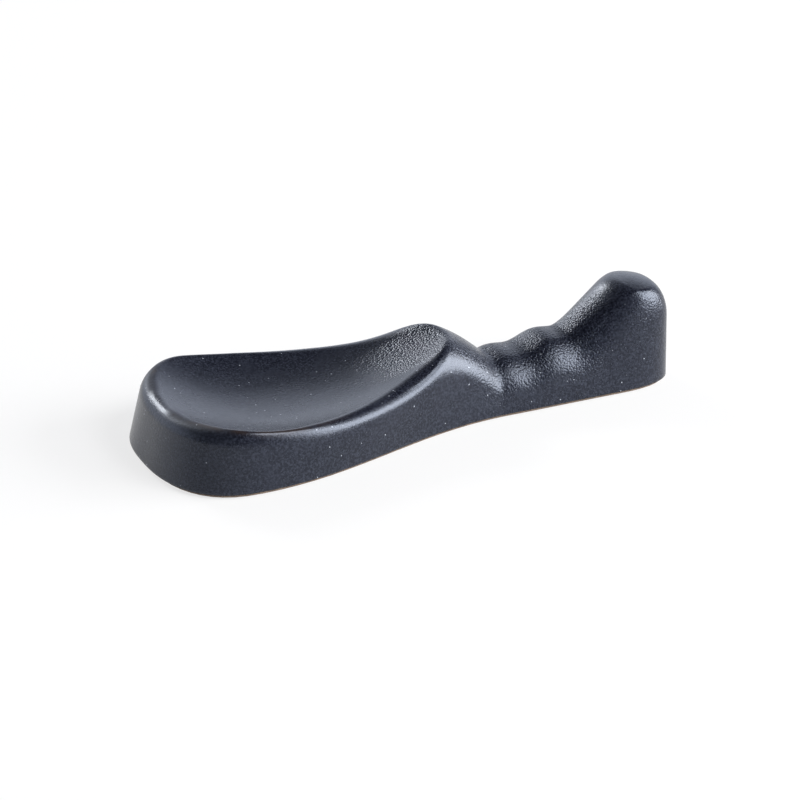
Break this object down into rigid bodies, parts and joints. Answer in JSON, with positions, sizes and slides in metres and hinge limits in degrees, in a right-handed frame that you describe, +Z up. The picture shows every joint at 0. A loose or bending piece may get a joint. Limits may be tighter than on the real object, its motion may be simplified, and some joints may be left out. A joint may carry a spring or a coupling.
{
  "type": "chopstick rest",
  "caption": "Glazed stoneware rest with a shallow spoon dish, a raised lip, a grooved saddle for chopsticks and a tall rounded knob at the end.",
  "frame": {"origin": "centre of the bounding box's bottom face, on the table", "axes": "+X along the length from the dish to the knob, +Y across, +Z up"},
  "size_m": [0.088, 0.034, 0.0166],
  "materials": {
    "stoneware": "bare fired clay, dry and slightly rough",
    "black_glaze": "satin blue-black glaze with a fine grain, coarser on the saddle and the knob",
    "underside_glaze": "thin satin blue-black glaze"
  },
  "bodies": {
    "root": {"stoneware_body": "stoneware", "glaze_coat": "black_glaze", "underside_glaze": "underside_glaze"}
  },
  "joints": []
}
